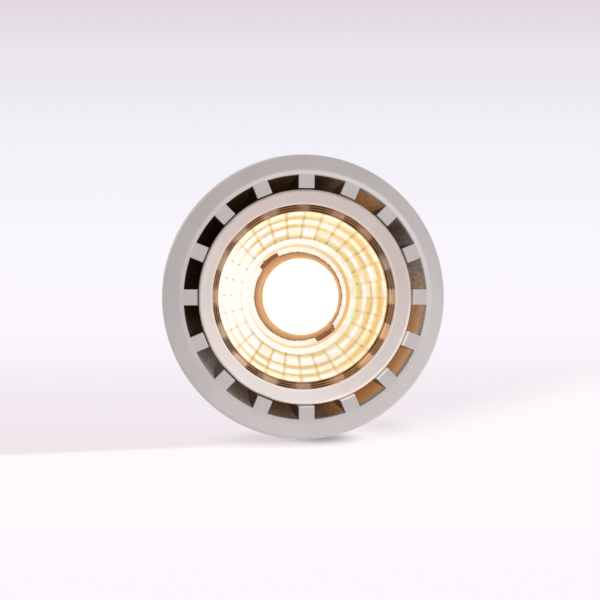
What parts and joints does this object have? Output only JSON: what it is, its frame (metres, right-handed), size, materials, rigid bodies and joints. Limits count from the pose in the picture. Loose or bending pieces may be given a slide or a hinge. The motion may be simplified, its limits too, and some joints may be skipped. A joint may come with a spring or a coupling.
{
  "type": "gu10 spotlight bulb",
  "caption": "LED reflector lamp with a slotted round cast housing, dished bezel, clear cover over a faceted reflector, and a twist-lock cap with two headed pins.",
  "frame": {"origin": "centre of the plane of the lamp's face, on which it stands", "axes": "+Z along the lamp's axis from its face to its pins; the pins lie along X"},
  "size_m": [0.05, 0.05, 0.056],
  "materials": {
    "housing_paint": "satin silver-grey paint on a casting",
    "bezel_paint": "pale satin paint",
    "clear_cover": "clear",
    "reflector_coat": "metallised, lit warm",
    "board_coat": "solder mask in warm light",
    "pad_silicone": "soft grey",
    "ceramic": "ceramic in warm light",
    "dam_silicone": "milky silicone",
    "light_surface": "lit phosphor",
    "screw_steel": "zinc plated",
    "lead_red": "wire insulation",
    "lead_black": "wire insulation",
    "sleeve_plastic": "natural nylon",
    "circuit_board": "solder mask",
    "capacitor_sleeve": "shrink sleeve",
    "film_case": "dipped case",
    "chip_plastic": "moulded epoxy",
    "fuse_coat": "lacquer",
    "ferrite": "sintered ferrite",
    "winding_tape": "polyester tape",
    "cap_plastic": "white thermoplastic",
    "pin_metal": "nickel plated",
    "mains_insulation": "white sleeving"
  },
  "bodies": {
    "root": {"heatsink_housing": "housing_paint", "bezel_ring": "bezel_paint", "front_lens": "clear_cover", "reflector": "reflector_coat", "cob_board": "board_coat", "thermal_pad": "pad_silicone", "cob_substrate": "ceramic", "cob_dam": "dam_silicone", "cob_phosphor": "light_surface", "led_screws": "screw_steel", "led_wire_positive": "lead_red", "led_wire_negative": "lead_black", "driver_sleeve": "sleeve_plastic", "driver_board": "circuit_board", "bulk_capacitor": "capacitor_sleeve", "film_capacitor": "film_case", "bridge_rectifier": "chip_plastic", "control_chip": "chip_plastic", "fuse_resistor": "fuse_coat", "transformer_core": "ferrite", "transformer_winding": "winding_tape", "base_housing": "cap_plastic", "contact_pin_left": "pin_metal", "contact_pin_right": "pin_metal", "mains_wire_left": "mains_insulation", "mains_wire_right": "mains_insulation"}
  },
  "joints": []
}
